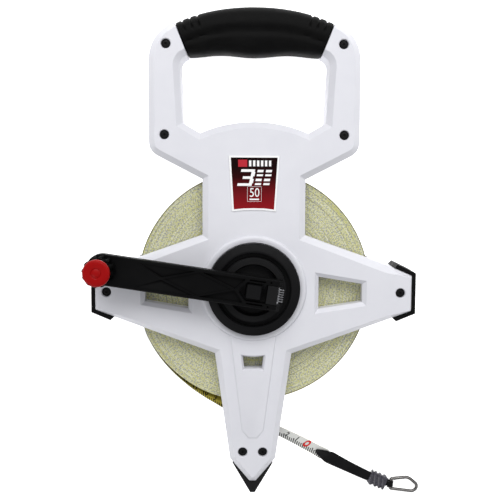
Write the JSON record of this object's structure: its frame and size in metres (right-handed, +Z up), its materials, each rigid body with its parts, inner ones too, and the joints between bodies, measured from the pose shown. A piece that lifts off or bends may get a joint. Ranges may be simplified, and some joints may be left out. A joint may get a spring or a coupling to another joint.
{
  "type": "surveyor tape reel",
  "caption": "Open-frame surveyor's tape reel: white two-part frame with carrying grip, geared folding crank with spinning knob, spool of narrow tape with end ring.",
  "frame": {"origin": "on the spool axis, on the flat back of the frame", "axes": "+Z up the spool axis from the back to the crank, +Y towards the carrying grip, +X to the side where the tape leaves"},
  "size_m": [0.2836, 0.4189, 0.095],
  "materials": {
    "white_abs": "fine satin",
    "black_nylon": "satin",
    "black_rubber": "matt",
    "red_abs": "gloss",
    "printed_label": "printed, black fading to dark red",
    "bright_steel": "bright",
    "black_oxide_steel": "black oxide",
    "natural_acetal": "natural",
    "tape_edges": "fine edges of wound tape",
    "tape_face": "coated, printed",
    "smoky_plastic": "smoky, slightly clear"
  },
  "bodies": {
    "frame": {"front_frame": "white_abs", "rear_frame": "white_abs", "grip_front": "black_rubber", "grip_rear": "black_rubber", "frame_screw_1": "black_oxide_steel", "frame_screw_2": "black_oxide_steel", "frame_screw_3": "black_oxide_steel", "frame_screw_4": "black_oxide_steel", "frame_screw_5": "black_oxide_steel", "frame_screw_6": "black_oxide_steel", "frame_screw_7": "black_oxide_steel", "frame_screw_8": "black_oxide_steel", "label_plate": "printed_label", "bumper_left": "black_rubber", "bumper_right": "black_rubber", "ground_spike": "black_nylon", "axle": "bright_steel", "axle_clip": "bright_steel", "thrust_washer": "bright_steel", "ring_gear": "natural_acetal", "hub_bezel": "black_nylon", "tape_lead": "tape_face", "end_strap": "black_rubber", "end_clamp": "smoky_plastic", "strap_loop": "black_rubber"},
    "spool": {"spool_drum": "black_nylon", "spool_bush": "natural_acetal", "tape_coil": "tape_edges", "sun_gear": "natural_acetal"},
    "crank": {"crank_disc": "black_nylon", "hinge_pin": "bright_steel", "hinge_spring": "bright_steel", "planet_pin_1": "bright_steel", "planet_pin_2": "bright_steel", "planet_pin_3": "bright_steel", "button_spring": "bright_steel"},
    "planet_1": {"planet_gear_1": "natural_acetal"},
    "planet_2": {"planet_gear_2": "natural_acetal"},
    "planet_3": {"planet_gear_3": "natural_acetal"},
    "button": {"lock_button": "black_nylon"},
    "arm": {"crank_arm": "black_nylon", "knob_pin": "bright_steel"},
    "knob": {"knob_body": "black_rubber", "knob_cap": "red_abs"},
    "hook": {"hook_ring": "bright_steel"}
  },
  "joints": [
    {"name": "spool_spin", "type": "hinge", "parent": "frame", "child": "spool", "pos_m": [0, 0, 0.0215], "axis": [0, 0, 1], "continuous": true},
    {"name": "crank_spin", "type": "hinge", "parent": "frame", "child": "crank", "pos_m": [0, 0, 0.05], "axis": [0, 0, 1], "continuous": true},
    {"name": "planet_spin_1", "type": "hinge", "parent": "crank", "child": "planet_1", "pos_m": [0, 0.0198, 0.0238], "axis": [0, 0, 1], "continuous": true},
    {"name": "planet_spin_2", "type": "hinge", "parent": "crank", "child": "planet_2", "pos_m": [-0.01715, -0.0099, 0.0238], "axis": [0, 0, 1], "continuous": true},
    {"name": "planet_spin_3", "type": "hinge", "parent": "crank", "child": "planet_3", "pos_m": [0.01715, -0.0099, 0.0238], "axis": [0, 0, 1], "continuous": true},
    {"name": "arm_fold", "type": "hinge", "parent": "crank", "child": "arm", "pos_m": [0.01909, -0.00282, 0.062], "axis": [0.1461, 0.9893, 0], "range_deg": [0, 180]},
    {"name": "knob_spin", "type": "hinge", "parent": "arm", "child": "knob", "pos_m": [-0.12188, 0.018, 0.081], "axis": [0, 0, 1], "continuous": true},
    {"name": "button_press", "type": "slide", "parent": "crank", "child": "button", "axis": [0, 0, -1], "range_m": [0, 0.0025], "stiffness_N_per_m": 400, "springref_m": -0.002, "deforming": ["button_spring"]},
    {"name": "hook_swing", "type": "hinge", "parent": "frame", "child": "hook", "pos_m": [0.1231, -0.17994, 0.0029], "axis": [-0.0872, -0.9962, 0], "range_deg": [0, 105]}
  ],
  "couplings": [
    {"joint": "crank_spin", "follows": "spool_spin", "ratio": 0.33333},
    {"joint": "planet_spin_1", "follows": "spool_spin", "ratio": -1.3333},
    {"joint": "planet_spin_2", "follows": "spool_spin", "ratio": -1.3333},
    {"joint": "planet_spin_3", "follows": "spool_spin", "ratio": -1.3333}
  ]
}
